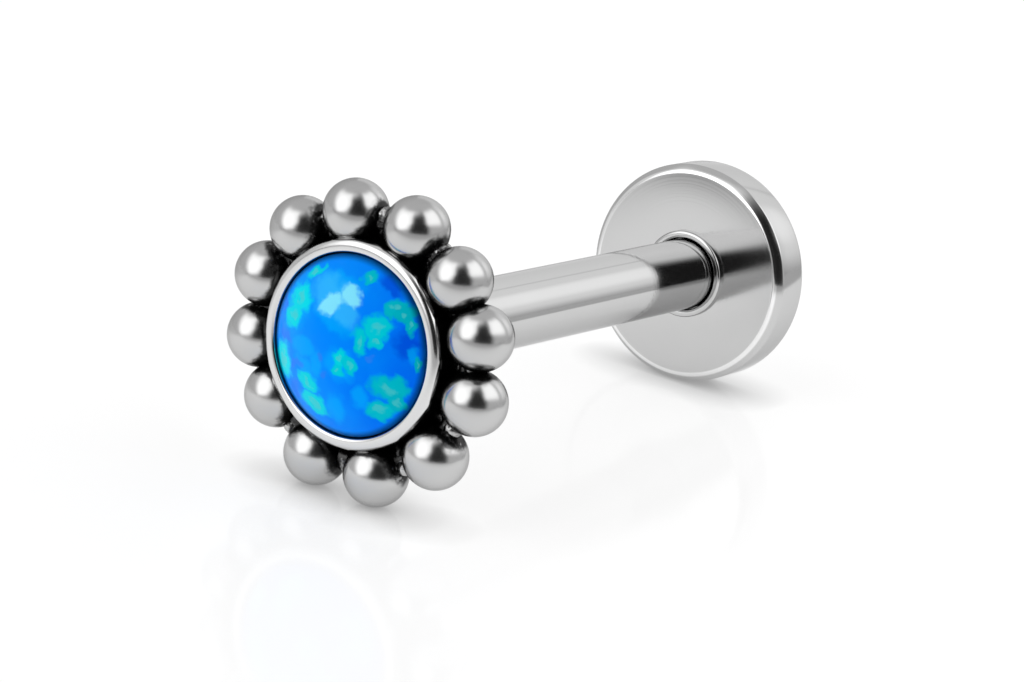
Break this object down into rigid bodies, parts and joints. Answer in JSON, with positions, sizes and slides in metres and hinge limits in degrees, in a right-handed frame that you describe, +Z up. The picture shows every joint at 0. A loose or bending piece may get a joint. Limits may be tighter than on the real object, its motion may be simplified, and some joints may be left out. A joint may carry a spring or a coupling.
{
  "type": "labret stud with a round opal in a beaded setting",
  "caption": "Straight body jewellery stud: round opal cabochon in a bezel cup with a ring of beads, plain straight post and flat round back, lying on its side as it rests.",
  "frame": {"origin": "centre of the bounding box on the floor that the stud rests on", "axes": "+Z up, +Y from the jewelled head to the flat back along the stud, sloping down by 3.1 degrees, +X across the stud"},
  "size_m": [0.0048, 0.011, 0.0048],
  "materials": {
    "satin_steel": "soft polished cast steel with a darkened recess between cup and beads",
    "polished_steel": "polished",
    "opal": "polished blue opal with turquoise and green flakes of colour"
  },
  "bodies": {
    "root": {"setting": "satin_steel", "opal": "opal", "head_pin": "polished_steel", "post": "polished_steel", "back_disc": "polished_steel"}
  },
  "joints": []
}
